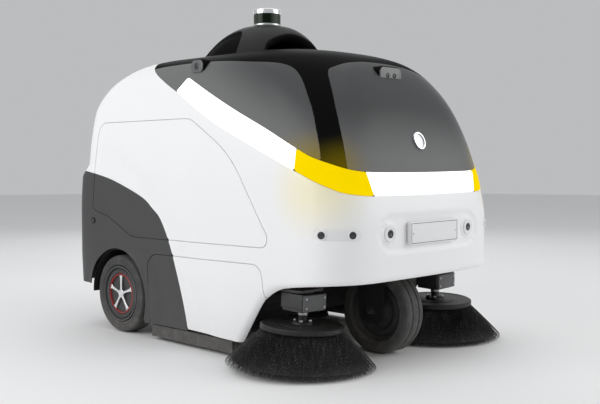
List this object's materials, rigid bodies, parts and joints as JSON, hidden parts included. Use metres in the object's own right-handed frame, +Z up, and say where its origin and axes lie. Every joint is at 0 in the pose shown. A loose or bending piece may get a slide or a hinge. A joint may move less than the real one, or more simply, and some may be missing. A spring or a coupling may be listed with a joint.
{
  "type": "robotic floor sweeper",
  "caption": "Driverless floor sweeper: white shell with wrap-round light band, glass canopy, roof lidar, steered nose wheel, side brushes and roller, hopper and doors.",
  "frame": {"origin": "on the floor, under the middle of the bounding box", "axes": "-Y is the nose and the driving direction, +X is the right-hand side in the front view, +Z is up"},
  "size_m": [1.2278, 1.48, 1.255],
  "materials": {
    "white_paint": "gloss",
    "grey_paint": "satin",
    "gloss_black": "gloss",
    "tinted_glass": "gloss",
    "white_light": "satin, lit",
    "yellow_light": "satin, lit",
    "green_glass": "gloss",
    "satin_steel": "satin",
    "bright_metal": "polished",
    "dark_steel": "satin",
    "black_plastic": "matte",
    "tyre_rubber": "matte",
    "bristle_nylon": "matte",
    "white_plastic": "satin",
    "lens_glass": "gloss",
    "red_plastic": "satin",
    "battery_case": "matte"
  },
  "bodies": {
    "machine": {"body_shell": "white_paint", "rear_lower_shell": "grey_paint", "canopy_frame": "gloss_black", "roof_dome": "gloss_black", "camera_pod_front": "gloss_black", "camera_pod_left": "gloss_black", "camera_pod_right": "gloss_black", "windshield": "tinted_glass", "side_window_left": "tinted_glass", "side_window_right": "tinted_glass", "light_bar_front": "white_light", "light_bar_left": "white_light", "light_bar_right": "white_light", "turn_light_left": "yellow_light", "turn_light_right": "yellow_light", "lidar_base": "satin_steel", "lidar_window": "green_glass", "lidar_cap": "bright_metal", "front_badge": "bright_metal", "number_plate": "white_plastic", "front_sensor_left": "lens_glass", "front_sensor_right": "lens_glass", "sensor_pod_front_left": "white_plastic", "sensor_pod_front_right": "white_plastic", "sensor_pod_rear_left": "black_plastic", "sensor_pod_rear_right": "black_plastic", "rear_axle": "dark_steel", "steering_bearing": "satin_steel", "main_brush_housing": "black_plastic", "brush_skirt": "tyre_rubber", "chassis_frame": "dark_steel", "battery_pack": "battery_case", "vacuum_fan": "black_plastic", "control_box": "satin_steel"},
    "steering_fork": {"front_fork": "dark_steel", "front_axle": "satin_steel"},
    "front_wheel": {"front_tyre": "tyre_rubber", "front_rim": "dark_steel"},
    "rear_wheel_left": {"rear_tyre_left": "tyre_rubber", "rear_rim_left": "dark_steel", "hub_cap_left": "bright_metal"},
    "rear_wheel_right": {"rear_tyre_right": "tyre_rubber", "rear_rim_right": "dark_steel", "hub_cap_right": "bright_metal"},
    "brush_arm_left": {"side_brush_arm_left": "dark_steel", "side_brush_motor_left": "dark_steel"},
    "brush_arm_right": {"side_brush_arm_right": "dark_steel", "side_brush_motor_right": "dark_steel"},
    "side_brush_left": {"side_brush_disc_left": "black_plastic", "side_brush_bristles_left": "bristle_nylon"},
    "side_brush_right": {"side_brush_disc_right": "black_plastic", "side_brush_bristles_right": "bristle_nylon"},
    "main_brush": {"main_brush_roller": "bristle_nylon"},
    "lidar_spinner": {"lidar_rotor": "black_plastic"},
    "upper_door_l": {"upper_door_left": "white_paint"},
    "upper_door_r": {"upper_door_right": "white_paint"},
    "lower_door_l": {"lower_door_left": "white_paint"},
    "lower_door_r": {"lower_door_right": "white_paint"},
    "hopper": {"dust_hopper": "black_plastic"},
    "estop": {"estop_button": "red_plastic"}
  },
  "joints": [
    {"name": "steering", "type": "hinge", "parent": "machine", "child": "steering_fork", "pos_m": [0, -0.518, 0.35], "axis": [0, 0, 1], "range_deg": [-70, 70]},
    {"name": "front_wheel_roll", "type": "hinge", "parent": "steering_fork", "child": "front_wheel", "pos_m": [0, -0.518, 0.1475], "axis": [1, 0, 0], "continuous": true},
    {"name": "rear_wheel_roll_left", "type": "hinge", "parent": "machine", "child": "rear_wheel_left", "pos_m": [-0.395, 0.445, 0.15], "axis": [1, 0, 0], "continuous": true},
    {"name": "rear_wheel_roll_right", "type": "hinge", "parent": "machine", "child": "rear_wheel_right", "pos_m": [0.395, 0.445, 0.15], "axis": [1, 0, 0], "continuous": true},
    {"name": "side_brush_lift_left", "type": "hinge", "parent": "machine", "child": "brush_arm_left", "pos_m": [-0.322, -0.23, 0.292], "axis": [-1, 0, 0], "range_deg": [0, 8]},
    {"name": "side_brush_spin_left", "type": "hinge", "parent": "brush_arm_left", "child": "side_brush_left", "pos_m": [-0.368, -0.476, 0.01173], "axis": [0.0308, -0.0308, 0.999], "continuous": true},
    {"name": "side_brush_lift_right", "type": "hinge", "parent": "machine", "child": "brush_arm_right", "pos_m": [0.322, -0.23, 0.292], "axis": [-1, 0, 0], "range_deg": [0, 8]},
    {"name": "side_brush_spin_right", "type": "hinge", "parent": "brush_arm_right", "child": "side_brush_right", "pos_m": [0.368, -0.476, 0.01173], "axis": [-0.0308, -0.0308, 0.999], "continuous": true},
    {"name": "main_brush_spin", "type": "hinge", "parent": "machine", "child": "main_brush", "pos_m": [0, 0.085, 0.1205], "axis": [1, 0, 0], "continuous": true},
    {"name": "lidar_spin", "type": "hinge", "parent": "machine", "child": "lidar_spinner", "pos_m": [0, 0.065, 1.2], "axis": [0, 0, 1], "continuous": true},
    {"name": "upper_door_left_hinge", "type": "hinge", "parent": "machine", "child": "upper_door_l", "pos_m": [-0.4215, 0, 0.8195], "axis": [0, 1, 0], "range_deg": [0, 80]},
    {"name": "lower_door_left_hinge", "type": "hinge", "parent": "machine", "child": "lower_door_l", "pos_m": [-0.4495, 0, 0.329], "axis": [0, 1, 0], "range_deg": [0, 80]},
    {"name": "upper_door_right_hinge", "type": "hinge", "parent": "machine", "child": "upper_door_r", "pos_m": [0.4215, 0, 0.8195], "axis": [0, -1, 0], "range_deg": [0, 80]},
    {"name": "lower_door_right_hinge", "type": "hinge", "parent": "machine", "child": "lower_door_r", "pos_m": [0.4495, 0, 0.329], "axis": [0, -1, 0], "range_deg": [0, 80]},
    {"name": "hopper_slide", "type": "slide", "parent": "machine", "child": "hopper", "axis": [0, 1, 0], "range_m": [0, 0.45]},
    {"name": "estop_press", "type": "slide", "parent": "machine", "child": "estop", "axis": [0, -1, 0], "range_m": [0, 0.004], "stiffness_N_per_m": 600}
  ]
}
